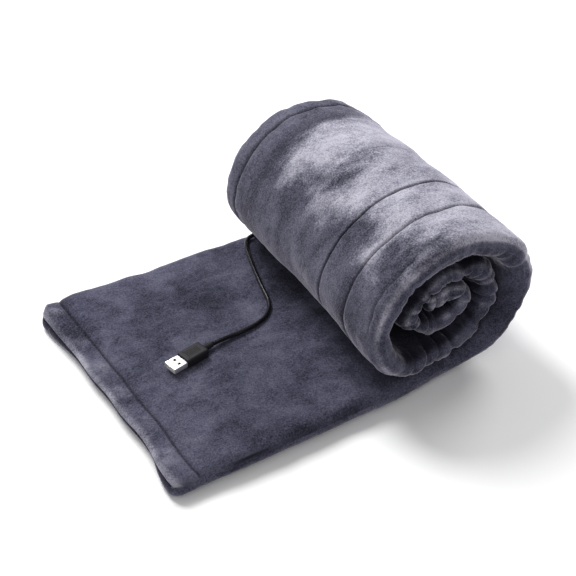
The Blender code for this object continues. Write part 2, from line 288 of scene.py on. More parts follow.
def moulded_vinyl(name, roughness, grain_mm):
    """Soft black PVC, extruded or moulded: near black, with a broad soft gleam and a fine spark texture."""
    made, tree, shader = new_material(name)
    place = add(tree, "ShaderNodeTexCoord").outputs["Object"]
    grain = add(tree, "ShaderNodeTexNoise", Vector=place, Scale=1 / (grain_mm * MM),
                Detail=3.0).outputs["Fac"]
    ramp = add(tree, "ShaderNodeValToRGB", i0=grain)
    vinyl = linear(bpy.context.scene.throw_lead.vinyl)
    ramp.color_ramp.elements[0].color = [c * 0.7 for c in vinyl[:3]] + [1.0]
    ramp.color_ramp.elements[1].color = [c * 1.35 for c in vinyl[:3]] + [1.0]
    link(tree, ramp.outputs["Color"], shader, "Base Color")
    uneven = add(tree, "ShaderNodeMapRange", i0=grain, i1=0.3, i2=0.7, i3=roughness - 0.08,
                 i4=roughness + 0.08).outputs["Result"]
    link(tree, uneven, shader, "Roughness")
    bump = add(tree, "ShaderNodeBump", Strength=0.25, Distance=0.05 * MM, Height=grain).outputs["Normal"]
    link(tree, bump, shader, "Normal")
    shader.inputs["IOR"].default_value = 1.53
    shader.inputs["Specular IOR Level"].default_value = 0.3
    return made


def plated_steel():
    """Nickel-plated steel, rolled and folded: bright, with fine rolling lines along the shell."""
    made, tree, shader = new_material("nickel_plated_steel")
    place = add(tree, "ShaderNodeTexCoord").outputs["Object"]
    # rolling lines of 2.5 by 0.11 mm
    fine, long = 1 / (0.111 * MM), 1 / (2.5 * MM)
    along = add(tree, "ShaderNodeMapping", Vector=place, Scale=(long, fine, fine)).outputs["Vector"]
    lines = add(tree, "ShaderNodeTexNoise", Vector=along, Scale=1.0, Detail=2.0).outputs["Fac"]
    steel = linear(bpy.context.scene.throw_lead.steel)
    ramp = add(tree, "ShaderNodeValToRGB", i0=lines)
    ramp.color_ramp.elements[0].color = [c * 0.9 for c in steel[:3]] + [1.0]
    ramp.color_ramp.elements[1].color = steel
    link(tree, ramp.outputs["Color"], shader, "Base Color")
    worn = add(tree, "ShaderNodeMapRange", i0=lines, i1=0.3, i2=0.7, i3=0.26, i4=0.40).outputs["Result"]
    link(tree, worn, shader, "Roughness")
    shader.inputs["Metallic"].default_value = 0.85
    return made


def spunbond():
    """Spunbond polypropylene felt, calendered: off-white, with a grid of small bonded points."""
    made, tree, shader = new_material("spunbond_polypropylene")
    place = add(tree, "ShaderNodeTexCoord").outputs["Object"]
    fibres = add(tree, "ShaderNodeTexNoise", Vector=place, Scale=1 / (0.7 * MM), Detail=3.0).outputs["Fac"]
    points = add(tree, "ShaderNodeTexVoronoi", Vector=place, Scale=1 / (1.5 * MM)).outputs["Distance"]
    ramp = add(tree, "ShaderNodeValToRGB", i0=fibres)
    ramp.color_ramp.elements[0].color = linear("#A9A9A3")
    ramp.color_ramp.elements[1].color = linear("#CFCFC9")
    link(tree, ramp.outputs["Color"], shader, "Base Color")
    bump = add(tree, "ShaderNodeBump", Strength=0.4, Distance=0.15 * MM, Height=points).outputs["Normal"]
    link(tree, bump, shader, "Normal")
    shader.inputs["Roughness"].default_value = 0.9
    return made


def plain_finish(name, hexcode, roughness, metallic, grain_mm):
    """A small hidden part's finish: its own colour, broken up by a fine grain."""
    made, tree, shader = new_material(name)
    place = add(tree, "ShaderNodeTexCoord").outputs["Object"]
    grain = add(tree, "ShaderNodeTexNoise", Vector=place, Scale=1 / (grain_mm * MM),
                Detail=2.0).outputs["Fac"]
    ramp = add(tree, "ShaderNodeValToRGB", i0=grain)
    colour = linear(hexcode)
    ramp.color_ramp.elements[0].color = [c * 0.8 for c in colour[:3]] + [1.0]
    ramp.color_ramp.elements[1].color = colour
    link(tree, ramp.outputs["Color"], shader, "Base Color")
    bump = add(tree, "ShaderNodeBump", Strength=0.3, Distance=0.1 * MM, Height=grain).outputs["Normal"]
    link(tree, bump, shader, "Normal")
    shader.inputs["Roughness"].default_value = roughness
    shader.inputs["Metallic"].default_value = metallic
    return made


# ---------------------------------------------------------------- the band's own coordinates
class Band:
    """The folded band: s runs along it from the free edge, y across it, depth through its two plies."""

    flap = ROLL_X - FREE_EDGE_X

    def __init__(self):
        self.angles = np.linspace(0, TURNS * 2 * math.pi, 4000)
        shrink = PITCH * self.angles / (2 * math.pi) + THICK / 2
        speed = np.hypot((ROLL_HALF_LENGTH - shrink) * np.cos(self.angles),
                         (ROLL_HALF_HEIGHT - shrink) * np.sin(self.angles))
        steps = np.diff(self.angles) * (speed[1:] + speed[:-1]) / 2
        self.run = np.concatenate([[0], np.cumsum(steps)])
        self.length = self.flap + self.run[-1] + TAIL.length

    def angle(self, s):
        return np.interp(s - self.flap, self.run, self.angles)

    def turn(self, s):
        """Turns round the roll at s, 0 on the flap."""
        return self.angle(s) / (2 * math.pi)

    def reach(self, turns):
        """How far along the band this many turns end."""
        return self.flap + np.interp(turns * 2 * math.pi, self.angles, self.run)

    def place(self, s, y, depth):
        """The point in space. Depth 0 is the band's outer side, which lies on the floor under the flap."""
        angle = self.angle(s)
        shrink = PITCH * angle / (2 * math.pi) + depth
        rolled = s > self.flap
        x = np.where(rolled, ROLL_X + (ROLL_HALF_LENGTH - shrink) * np.sin(angle), FREE_EDGE_X + s)
        z = np.where(rolled, ROLL_HALF_HEIGHT - (ROLL_HALF_HEIGHT - shrink) * np.cos(angle), depth)
        tail = np.clip((s - self.flap - self.run[-1]) / TAIL.length, 0, 1)
        return x + TAIL.x * tail, y, z + TAIL.z * tail


BAND = Band()


def waves(u, v, length, seed, count=9):
    """A smooth uneven swell over two coordinates, about -1 to 1, with waves about this long."""
    rng = np.random.default_rng(seed)
    total = np.zeros(np.broadcast(u, v).shape)
    for _ in range(count):
        heading, phase = rng.uniform(0, 2 * math.pi, 2)
        size = length * rng.uniform(0.65, 1.6)
        total += np.sin((u * math.cos(heading) + v * math.sin(heading)) * 2 * math.pi / size + phase)
    return total / math.sqrt(count) / 1.3


def creases(s, start, stop, spacing, seed, sharp=1.0):
    """Grooves at uneven places along s: 0 between them and up to 1 in them."""
    rng = np.random.default_rng(seed)
    total = np.zeros_like(s)
    at = start
    while at < stop:
        width = rng.uniform(1.1, 2.6) * MM * sharp
        total = np.maximum(total, rng.uniform(0.35, 1.0) / (1 + ((s - at) / width) ** 4) ** 0.5)
        at += spacing * rng.uniform(0.45, 1.7)
    return total


# ---------------------------------------------------------------- the plush band's mesh
def graded(start, stop, coarse, fine):
    """Places from start to stop, closer together near the ones listed as (place, reach, spacing)."""
    at = np.linspace(start, stop, 6000)
    spacing = np.full_like(at, coarse)
    for place, reach, close in fine:
        away = smoothstep(reach, 2.2 * reach, np.abs(at - place))
        spacing = np.minimum(spacing, close + (coarse - close) * away)
    run = np.concatenate([[0], np.cumsum(np.diff(at) * 2 / (spacing[1:] + spacing[:-1]))])
    return np.interp(np.linspace(0, run[-1], round(run[-1]) + 1), run, at)


def folded_section(far_under, top, near_under, arc_steps):
    """Centre points and outward normals round the folded band, from one lip of the slit to the other."""
    arc = np.linspace(-math.pi / 2, math.pi / 2, arc_steps + 1)[1:-1]
    far_round, near_round = np.full(len(arc), FOLD_Y), np.full(len(arc), -FOLD_Y)
    ys = np.concatenate([far_under, far_round, top, near_round, near_under])
    ny = np.concatenate([0 * far_under, np.cos(arc), 0 * top, -np.cos(arc), 0 * near_under])
    nz = np.concatenate([0 * far_under - 1, np.sin(arc), 0 * top + 1, np.sin(-arc), 0 * near_under - 1])
    return ys, ny, nz


def band_section(cell):
    """The plush band's section: its points are closest in the folded sides, the seams and the lips."""
    near, far = (-FOLD_Y, 16 * MM, 0.6 * cell), (FOLD_Y, 12 * MM, cell)
    near_seam, far_seam = (NEAR_SEAM_Y, 3 * MM, 0.35 * cell), (FAR_SEAM_Y, 3 * MM, 0.4 * cell)
    coarse = 2.2 * cell
    far_under = np.concatenate([MEET_Y + LIP_PLACES, graded(MEET_Y + LIP, FOLD_Y, coarse, [far, far_seam])])
    near_under = np.concatenate([graded(-FOLD_Y, MEET_Y - LIP, coarse, [near, near_seam]),
                                 MEET_Y - LIP_PLACES[::-1]])
    top = graded(-FOLD_Y, FOLD_Y, coarse, [near, far])[::-1]
    return folded_section(far_under, top, near_under, 16)


def stations_along(cell):
    """Places along the band: closest in the free edge's hem and where the folded sides crease."""
    hem = HEM_SEAM_X - FREE_EDGE_X
    creased = BAND.reach(0.45)
    middle = (creased + BAND.length) / 2
    fine = [(hem / 2, 0.6 * hem, 0.75 * cell), (hem, 3 * MM, 0.35 * cell),
            (middle, (BAND.length - creased) / 2, 0.92 * cell)]
    between = graded(LIP, BAND.length - LIP, 1.5 * cell, fine)
    return np.concatenate([LIP_PLACES, between, BAND.length - LIP_PLACES[::-1]])


# ---------------------------------------------------------------- how the plain band becomes worn cloth
def hem_line(y):
    """Where the hem's stitching runs, measured from the free edge."""
    return HEM_SEAM_X - FREE_EDGE_X + 0.9 * MM * waves(y, 0 * y, 0.09, 31)


class Spots:
    """Points round the band's section, and how far each belongs to its plies, sides and turns, from 0 to 1."""

    def __init__(self, s, ys, ny, nz, depth):
        self.s, self.ys, self.ny, self.nz, self.depth = s, ys, ny, nz, depth
        self.turn = BAND.turn(s)
        self.rolled = smoothstep(0.0, 0.10, self.turn)
        self.outermost = 1 - smoothstep(0.80, 1.0, self.turn)
        self.on_outer = np.where(nz < -0.01, 1.0, 0.0)
        self.on_inner = np.where(nz > 0.01, 1.0, 0.0)
        # the folded sides' half rounds, and the plies beside them; the outer turn's far side is smoother
        self.in_fold = np.abs(ny)
        self.off_fold = smoothstep(1.0, 0.75, self.in_fold)
        by_near = np.exp(-np.maximum(ys + FOLD_Y, 0) / FOLD_REACH)
        by_far = np.exp(-np.maximum(FOLD_Y - ys, 0) / FOLD_REACH) * (1 - 0.7 * self.outermost)
        self.by_fold = np.where(ys < 0, by_near, by_far)
        # the hem's flat turned strip with its slanting rumples, and the short row inside the near rim
        self.hem_s = hem_line(ys)
        self.on_top = self.on_inner * self.off_fold
        self.strip = self.on_top * smoothstep(0, LIP, s) * smoothstep(self.hem_s, self.hem_s - 6 * MM, s)
        self.rumple = waves(ys + 0.35 * s, 0.25 * s, 0.0095, 45)
        self.rim_row = self.on_outer * smoothstep(0.54, 0.58, self.turn) * smoothstep(0.74, 0.70, self.turn)
        self.groove = side_creases(self)
        self.seam_line, self.seam_dip = stitched_seams(self)
        # the plies part along the flap's near side, towards the free edge
        split = hump(nz, 0.30, 0.22) * np.where(ny < 0, 1.0, 0.4) * smoothstep(0.15, 0.45, self.in_fold)
        self.parted = split * smoothstep(0.19, 0.05, s) * (0.65 + 0.35 * waves(s, 0 * s, 0.06, 51))


def side_creases(at):
    """Creases on the folded sides, drawn together by the roll's curve: 1 where they are deepest."""
    s, first = at.s, BAND.flap + 0.03
    slant, bend = waves(s, 0 * s, 0.05, 15), waves(s, 0 * s, 0.04, 16)
    slanted = s + 0.5 * (at.ys + FOLD_Y) * slant + 1.8 * MM * at.nz * bend
    near = np.maximum(creases(slanted, first, BAND.length, 9.0 * MM, 11, 0.8),
                      0.9 * creases(slanted, first, BAND.length, 24 * MM, 14, 1.6))
    far = creases(s, first, BAND.length, 12 * MM, 12)
    flap = 0.35 * creases(s, 0.004, first, 17 * MM, 13, 1.6)
    tight = at.rolled * (0.28 + 0.72 * smoothstep(0.78, 0.96, at.turn)) + (1 - at.rolled) * 0.4
    deep = np.maximum(np.where(at.ys < 0, near, far), flap)
    return deep * at.by_fold * tight * (1 - 0.45 * at.on_outer * (1 - at.in_fold))


def stitched_seams(at):
    """The seams' lines of painted shade, and how far the stitching draws the pile in beside them, from 0 to 1.
    """
    rows = ((at.s - at.hem_s, at.on_top + 0.6 * at.on_outer * at.off_fold), (at.ys - NEAR_SEAM_Y, at.on_outer),
            (at.ys - FAR_SEAM_Y, at.on_outer), (at.ys - RIM_SEAM_Y, 0.8 * at.rim_row))
    line, dip = 0 * at.s, 0 * at.s
    for away, share in rows:
        line = np.maximum(line, hump(away, 0, 0.8 * MM) * share)
        dip = np.maximum(dip, (0.75 * hump(away, 0, 1.1 * MM) + 0.25 * hump(away, 0, 4.5 * MM)) * share)
    # the two turned-under sides meet without stitches, and get a line of painted shade too
    return np.maximum(line, 0.75 * hump(at.ys, MEET_Y, 0.9 * MM) * at.on_outer), dip


def seam_gathers(at):
    """Short gathers beside the stitched rows."""
    s, ys = at.s, at.ys
    beside = at.on_outer * at.rolled
    rim = at.rim_row * hump(ys, RIM_SEAM_Y - 3 * MM, 5 * MM) * waves(s, ys * 0.3, 0.007, 46)
    hem = at.on_top * hump(s, at.hem_s, 9 * MM) * waves(ys, s * 0.25, 0.009, 41)
    near = beside * hump(ys, NEAR_SEAM_Y, 9 * MM) * waves(s, ys * 0.2, 0.012, 42)
    far = beside * hump(ys, FAR_SEAM_Y, 8 * MM) * waves(s, ys * 0.2, 0.011, 43)
    return 0.5 * MM * rim + 0.36 * MM * (hem + near + far)


def side_shifts(at):
    """How far the near and the far side move along y.

    The outer turn hangs over like a hood, the inner turns stand back, and the flap is a little wider.
    """
    s, turn, rolled = at.s, at.turn, at.rolled
    hood = smoothstep(0.30, 0.55, turn) * (1 - smoothstep(0.86, 0.98, turn))
    back = 7.0 * MM * smoothstep(0.93, 1.25, turn) + 3.0 * MM * smoothstep(1.5, 2.3, turn)
    back += 3.5 * MM * hump(turn, 1.64, 0.16)
    flat = 1 - smoothstep(BAND.flap - 0.05, BAND.flap + 0.02, s)
    near = back - 6.0 * MM * rolled - 3.5 * MM * hood + 1.3 * MM * rolled * waves(s, 0 * s, 0.09, 61)
    near -= flat * (5.5 * MM + 1.0 * MM * waves(s, 0 * s, 0.07, 71))
    far = 3.0 * MM * hood - 0.6 * back - 1.2 * MM * rolled * waves(s, 0 * s, 0.08, 62)
    far += flat * (5.5 * MM + 6.5 * MM * smoothstep(0.20, 0.0, s) + 0.8 * MM * waves(s, 0 * s, 0.07, 72))
    return near, far


def loosen(at, y, through):
    """The roll's turns are loose: hollows round the inner ones at the near mouth, and plump places outside."""
    turn = at.turn
    mouth, near = smoothstep(-0.035, -SIDE, y), smoothstep(0.02, -SIDE, y)
    hollow = sum(depth * hump(turn, place, reach) for place, reach, depth in HOLLOWS)
    drawn_in = 8.0 * MM * hump(turn, 1.64, 0.15)
    left = smoothstep(0.45, 0.68, turn) * (1 - smoothstep(0.84, 0.97, turn))
    upper_right = smoothstep(0.12, 0.30, turn) * (1 - smoothstep(0.46, 0.70, turn))
    flare = (left * 8.5 + upper_right * 3.5) * near * MM
    puff = upper_right * (8.5 - 4.5 * near) * MM
    outer_share = np.clip(1 - through / THICK, 0, 1)
    return through + (mouth * hollow - puff) * outer_share + mouth * drawn_in - flare


def shape_cloth(wants, at):
    """The points of the worn cloth, moved from the plain band's."""
    s, ys, turn = at.s, at.ys, at.turn
    # slow waves of a soft cloth, quiet where the turns lie on each other
    open_top = at.on_inner * (1 - smoothstep(0.0, 0.05, turn))
    open_roll = at.on_outer * smoothstep(0.07, 0.16, turn) * (1 - smoothstep(0.80, 0.93, turn))
    swell = waves(s, ys, 0.075, 3) + 0.55 * waves(s, ys, 0.030, 4) + 0.22 * waves(s, ys, 0.013, 5)
    move = wants.swell * np.maximum(open_top, open_roll) * swell
    move -= wants.pucker * at.groove + wants.seam * at.seam_dip + 2.0 * MM * at.parted
    plump = 1.0 * MM * waves(s, 0 * ys, 0.026, 21) + 0.4 * MM * waves(s, ys, 0.010, 22)
    rumpled = 0.2 * MM + 0.75 * MM * waves(ys + 0.7 * s, 0.4 * s, 0.020, 44) + 0.95 * MM * at.rumple
    move += at.rolled * at.by_fold * plump + at.strip * rumpled + seam_gathers(at)

    from_middle = HALF_THICK - at.depth + move
    y = ys + from_middle * at.ny
    through = HALF_THICK + from_middle * at.nz
    near_shift, far_shift = side_shifts(at)
    near_end, far_end = smoothstep(-0.045, -SIDE, y), smoothstep(0.055, SIDE, y)
    through = loosen(at, y, through)
    y = y + near_end * near_shift + far_end * far_shift

    # the free edge's outline is uneven, with rounded corners, and the upper ply sinks towards it
    lower = (1 - at.nz) / 2
    at_corner = smoothstep(0.60, 0.97, np.abs(ys) / FOLD_Y)
    corner = smoothstep(SIDE - 13 * MM, SIDE, np.abs(ys + (HALF_THICK - at.depth) * at.ny))
    outline = (corner ** 2 * (5.0 - 2.0 * lower) * MM + 1.1 * MM * waves(ys, 0 * ys, 0.07, 73)
               - 5.0 * MM * np.where(ys < 0, at_corner, 0.3 * at_corner) + lower * (1.6 - 2.8 * at_corner) * MM)
    s_out = s + smoothstep(30 * MM, 0, s) * outline
    through = through * (1 - smoothstep(28 * MM, 2 * MM, s) * (0.34 - 0.24 * at_corner))
    # the flap stays on the floor, and the roll stops short of its own axis
    core = ROLL_HALF_HEIGHT - PITCH * turn - 1.0 * MM
    through = np.where(turn < 0.02, np.maximum(through, 0.0), np.minimum(through, core))
    return np.stack(BAND.place(s_out, y, through), -1)


def pile_marks(at):
    """What the plush is told of each point: a painted highlight over the roll's crest, painted highlights along
    edges, folds and ridges, and painted shade.
    """
    s, ys, turn = at.s, at.ys, at.turn
    # painted highlight over the crest and the right of the roll, where the light falls, short of the far seam
    painted_crest_highlight = smoothstep(0.08, 0.22, turn) * (1 - smoothstep(0.44, 0.76, turn)) - 0.9 * smoothstep(0.060, 0.078, ys)
    painted_crest_highlight = np.clip(painted_crest_highlight, 0, 1) * at.on_outer * at.off_fold - 0.10
    # painted highlights on the free edge, the hem's rumple crests, the folds and ridges at the roll's ends, and
    # the outer turn's top and left
    edge = hump(s, 0.5 * MM, 2.6 * MM) * (1 + at.nz) / 2 * (0.55 + 0.2 * waves(ys, 0 * ys, 0.03, 84))
    fold_highlight = hump(at.nz, -0.62, 0.20) * np.where(at.in_fold > 0.05, 1.0, 0.0) * (1 - 0.8 * at.groove) * at.rolled
    ridge_highlight = smoothstep(0.75, 0.95, turn) * smoothstep(0.5, 0.9, at.in_fold) * (1 - at.groove)
    rim = np.maximum.reduce([
        edge * at.off_fold,
        0.20 * at.strip * np.clip(at.rumple, 0, 1),
        fold_highlight * (0.65 + 0.35 * waves(s, 0 * s, 0.03, 83)),
        0.75 * ridge_highlight * np.clip(waves(s, 9 * MM * at.nz, 0.016, 85), 0, 1),
        0.11 * at.on_outer * at.off_fold * smoothstep(0.30, 0.5, turn) * at.outermost])
    # painted shade in the seam lines, creases and parted plies, and where pile faces another turn
    between = at.on_outer * smoothstep(0.97, 1.04, turn) + at.on_inner * smoothstep(0.30, 0.50, turn)
    shade = (0.80 * at.seam_line + 0.55 * at.groove + 0.85 * at.parted
             + 0.60 * between * smoothstep(0.9, 0.3, at.in_fold))
    return painted_crest_highlight, np.clip(rim, 0, 1), np.clip(shade, 0, 0.92)


def make_band(wants):
    """Both plies as one closed cloth, folded lengthwise and rolled."""
    ys, ny, nz = band_section(wants.cell)
    s = stations_along(wants.cell)[:, None] + 0 * ys[None, :]
    grids = [0 * s + part[None, :] for part in (ys, ny, nz)]
    to_slit = np.where(grids[2] < -0.99, np.abs(grids[0] - MEET_Y), 1.0)

    def rounded(distance):
        return np.sqrt(np.clip(1 - (1 - np.clip(distance / PLY_HALF, 0, 1)) ** 2, 0, 1))

    # the ply narrows to nothing at its ends and along the slit, where its two surfaces join
    half = PLY_HALF * rounded(s) * rounded(BAND.length - s) * rounded(2.6 * to_slit)
    outside = Spots(s, *grids, PLY_HALF - half)
    inside = Spots(s, *grids, np.minimum(PLY_HALF + half, HALF_THICK - 0.3 * MM))
    points = np.concatenate([shape_cloth(wants, outside).reshape(-1, 3),
                             shape_cloth(wants, inside)[1:-1, 1:-1].reshape(-1, 3)])
    rows, columns = s.shape
    outer_index = np.arange(rows * columns).reshape(rows, columns)
    inner_index = outer_index.copy()
    inner_index[1:-1, 1:-1] = np.arange(rows * columns, len(points)).reshape(rows - 2, columns - 2)

    def quads(index, flip):
        a, b, c, d = index[:-1, :-1], index[1:, :-1], index[1:, 1:], index[:-1, 1:]
        order = (a, d, c, b) if flip else (a, b, c, d)
        return np.stack([part.ravel() for part in order], -1)

    faces = np.concatenate([quads(outer_index, True), quads(inner_index, False)])
    mesh = bpy.data.meshes.new("plush_band")
    mesh.vertices.add(len(points))
    mesh.vertices.foreach_set("co", points.ravel())
    mesh.loops.add(faces.size)
    mesh.loops.foreach_set("vertex_index", faces.ravel().astype(np.int32))
    mesh.polygons.add(len(faces))
    mesh.polygons.foreach_set("loop_start", np.arange(0, faces.size, 4, dtype=np.int32))
    mesh.update(calc_edges=True)
    mesh.validate()

    def keep(name, kind, slot, grid, hidden):
        both = np.concatenate([grid.ravel(), hidden[1:-1, 1:-1].ravel()])
        mesh.attributes.new(name, kind, "POINT").data.foreach_set(slot, both.astype(np.float32))

    # painted highlights and painted shade, for the plush's colour
    painted_crest_highlight, rim, shade = pile_marks(outside)
    keep("painted_crest_highlight", "FLOAT", "value", painted_crest_highlight, 0 * painted_crest_highlight)
    keep("rim", "FLOAT", "value", rim, 0 * rim)
    keep("shade", "FLOAT", "value", shade, 0 * shade + 0.5)
    unrolled = np.stack([s, grids[0] + HALF_THICK * grids[1], THICK * (grids[2] > 0)], -1)
    keep("band_place", "FLOAT_VECTOR", "vector", unrolled, unrolled)
    made = bpy.data.objects.new("plush_band", mesh)
    bpy.context.scene.collection.objects.link(made)
    mesh.shade_smooth()
    return made


def make_carrier(wants):
    """The thin felt that carries the heating wire, folded inside the plush and shaped with it."""
    felt, slit = 1.0 * MM, 6 * MM
    ys, ny, nz = folded_section(np.linspace(MEET_Y + slit, FOLD_Y, 26), np.linspace(FOLD_Y, -FOLD_Y, 40),
                                np.linspace(-FOLD_Y, MEET_Y - slit, 12), 8)
    depth = HALF_THICK - (CARRIER_HIGH.y - FOLD_Y)
    along = np.linspace(CARRIER_LOW.x - FREE_EDGE_X, BAND.reach(CARRIER_TURNS), 200)
    s = along[:, None] + 0 * ys[None, :]
    grids = [0 * s + part[None, :] for part in (ys, ny, nz)]
    sides = [shape_cloth(wants, Spots(s, *grids, 0 * s + depth + extra)) for extra in (0, felt)]
    mesh = bmesh.new()
    outer, inner = ([[mesh.verts.new(point) for point in row] for row in side] for side in sides)
    rows, columns = s.shape
    for i in range(rows - 1):
        for j in range(columns - 1):
            mesh.faces.new((outer[i][j], outer[i][j + 1], outer[i + 1][j + 1], outer[i + 1][j]))
            mesh.faces.new((inner[i][j], inner[i + 1][j], inner[i + 1][j + 1], inner[i][j + 1]))
    border = [(0, j) for j in range(columns)] + [(i, columns - 1) for i in range(1, rows)]
    border += [(rows - 1, j) for j in range(columns - 2, -1, -1)] + [(i, 0) for i in range(rows - 2, 0, -1)]
    for (i, j), (k, l) in zip(border, border[1:] + border[:1]):
        mesh.faces.new((outer[i][j], inner[i][j], inner[k][l], outer[k][l]))
    return finish_mesh("carrier_felt", mesh, spunbond(), Matrix(), 60)


class OBJECT_OT_throw_band(bpy.types.Operator):
    """Build the folded and rolled plush cloth"""
    bl_idname = "object.throw_band"
    bl_label = "Plush band"

    def execute(self, context):
        band = make_band(context.scene.heated_throw)
        band.data.materials.append(brushed_plush())
        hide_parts("face_cover_flap", "face_cover_outer_turn", "face_cover_inner_turn", "back_cover",
                    "core_end_hem", "free_edge_hem", "free_edge_backing")
        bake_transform(band)

        carrier = make_carrier(context.scene.heated_throw)
        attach(carrier, "throw")
        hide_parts("heating_carrier")
        return {"FINISHED"}


# ---------------------------------------------------------------- stitching
def stitch_rows(name, rows, finish, body, stitch=2.7 * MM, gap=0.7 * MM, radius=0.32 * MM):
    """Rows of stitches: each one a short bowed thread, dipping into the pile at both ends."""
    mesh = bmesh.new()
    rings_each, around = 6, 6
    for points, normals in rows:
        run = np.concatenate([[0], np.cumsum(np.linalg.norm(np.diff(points, axis=0), axis=1))])
        at = 1.0 * MM
        while at + stitch < run[-1]:
            rings = []
            for step in range(rings_each):
                here = at + stitch * step / (rings_each - 1)
                middle = Vector([np.interp(here, run, points[:, k]) for k in range(3)])
                ahead = Vector([np.interp(here + 0.2 * MM, run, points[:, k]) for k in range(3)])
                up = Vector([np.interp(here, run, normals[:, k]) for k in range(3)]).normalized()
                side = (ahead - middle).normalized().cross(up).normalized()
                bow = math.sin(math.pi * step / (rings_each - 1))
                middle += up * (bow * 0.45 - 0.35) * MM
                size = radius * (0.55 + 0.45 * bow)
                rings.append([mesh.verts.new(middle + size * (math.cos(a) * side + math.sin(a) * up))
                              for a in (2 * math.pi * k / around for k in range(around))])
            join_rings(mesh, rings)
            at += stitch + gap
    made = finish_mesh(name, mesh, finish, Matrix(), 80)
    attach(made, body)
    return made


def surface_line(wants, s, ys, outer):
    """Points on the cloth's surface, with the outward direction there."""
    side = np.full_like(s, -1.0 if outer else 1.0)
    surface, below = (shape_cloth(wants, Spots(s, ys, 0 * s, side, 0 * s + depth)) for depth in (0, 1.0 * MM))
    outward = surface - below
    return surface, outward / np.linalg.norm(outward, axis=1, keepdims=True)


class OBJECT_OT_throw_stitching(bpy.types.Operator):
    """Sew the hem of the free edge and the two rows on the roll"""
    bl_idname = "object.throw_stitching"
    bl_label = "Stitching"

    def execute(self, context):
        wants = context.scene.heated_throw
        finish = sewing_thread()
        ys = np.linspace(-SIDE + 13 * MM, SIDE - 13 * MM, 260)
        hem_row = surface_line(wants, hem_line(ys), ys, False)
        hem = stitch_rows("free_edge_stitches", [hem_row], finish, "free_edge")
        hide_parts("free_edge_thread")

        def along(start, stop, y):
            s = BAND.reach(np.linspace(start, stop, 400))
            return surface_line(wants, s, 0 * s + y, True)

        near_rows = [along(0.10, 0.86, NEAR_SEAM_Y), along(0.56, 0.72, RIM_SEAM_Y)]
        near = stitch_rows("near_side_stitches", near_rows, finish, "throw")
        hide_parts("near_side_thread")
        far = stitch_rows("far_side_stitches", [along(0.10, 0.86, FAR_SEAM_Y)], finish, "throw")
        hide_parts("far_side_thread")
        return {"FINISHED"}


# ---------------------------------------------------------------- lead and plug
def smooth_route(points, spacing):
    """Points of a smooth curve through the route's own points, about one spacing apart."""
    route = [Vector(point) for point in points]
    padded = [route[0] * 2 - route[1]] + route + [route[-1] * 2 - route[-2]]
    made = [route[0]]
    for before, start, end, after in zip(padded, padded[1:], padded[2:], padded[3:]):
        steps = max(1, round((end - start).length / spacing))
        for index in range(1, steps + 1):
            t = index / steps
            made.append(0.5 * (2 * start + (end - before) * t
                               + (2 * before - 5 * start + 4 * end - after) * t * t
                               + (3 * start - before - 3 * end + after) * t ** 3))
    return made


def plug_matrix():
    """The plug's place: its shell points along its own X."""
    return Matrix.Translation(PLUG_BASE) @ Matrix.Rotation(PLUG_YAW, 4, "Z")


def finish_mesh(name, mesh, finish, matrix, angle=35):
    """Turns a built mesh into an object with its finish, smooth except at edges sharper than the angle."""
    data = bpy.data.meshes.new(name)
    bmesh.ops.recalc_face_normals(mesh, faces=mesh.faces)
    mesh.to_mesh(data)
    mesh.free()
    data.materials.append(finish)
    data.shade_smooth()
    data.set_sharp_from_angle(angle=math.radians(angle))
    made = bpy.data.objects.new(name, data)
    bpy.context.scene.collection.objects.link(made)
    made.matrix_world = matrix
    bpy.context.view_layer.update()
    return made


def rounded_section(width, height, corner, steps):
    """A rounded rectangle in the plug's Y and Z."""
    points = []
    for quarter in range(4):
        cy = (width / 2 - corner) * (1 if quarter in (0, 3) else -1)
        cz = (height / 2 - corner) * (1 if quarter in (0, 1) else -1)
        for index in range(steps + 1):
            a = math.pi / 2 * (quarter + index / steps)
            points.append((cy + corner * math.cos(a), cz + corner * math.sin(a)))
    return points


def join_rings(mesh, rings, closed=True):
    """Joins rings of equal count with quads, and closes both ends or joins the last ring to the first."""
    count = len(rings[0])
    for first, second in zip(rings, rings[1:] if closed else rings[1:] + rings[:1]):
        for k in range(count):
            mesh.faces.new((first[k], first[(k + 1) % count], second[(k + 1) % count], second[k]))
    if closed:
        mesh.faces.new(rings[0][::-1])
        mesh.faces.new(rings[-1])


def loft(mesh, sections, closed=True):
    """Joins sections, each a list of points."""
    join_rings(mesh, [[mesh.verts.new(point) for point in section] for section in sections], closed)


def make_overmould(finish):
    """The moulded grip: rounded edges and a field of fine cross ribs on its top and underside."""
    mesh = bmesh.new()
    sections = []
    ribs_from, ribs_to, pitch, rib_depth = 4 * MM, 16 * MM, 1.5 * MM, 0.38 * MM
    length, edge = MOULD.x, 1.1 * MM
    stops = [0, 0.25 * MM, 0.7 * MM, 1.3 * MM, 2.5 * MM, ribs_from]
    stops += [ribs_from + pitch * k / 6 for k in range(1, int((ribs_to - ribs_from) / pitch * 6))]
    stops += [ribs_to, 17 * MM, 18.4 * MM, 19.3 * MM, 19.8 * MM, length]
    for at in stops:
        near_end = min(at, length - at)
        inset = edge * (1 - math.sqrt(max(0, 1 - (1 - min(near_end / edge, 1)) ** 2)))
        section = rounded_section(MOULD.y - 2 * inset, MOULD.z - 2 * inset, 1.9 * MM - inset, 6)
        sections.append(densify([(-at, y, z) for y, z in section], 7))
    flat = MOULD.y / 2 - 2.4 * MM
    for section, at in zip(sections, stops):
        wave = math.sin((at - ribs_from) / pitch * 2 * math.pi)
        rib = rib_depth * max(0, wave) if ribs_from < at < ribs_to else 0
        for k, (x, y, z) in enumerate(section):
            if abs(y) < flat and abs(z) > MOULD.z / 2 - 1.5 * MM:
                section[k] = (x, y, z - math.copysign(rib, z))
    loft(mesh, sections)
    return finish_mesh("plug_grip", mesh, finish, plug_matrix(), 50)


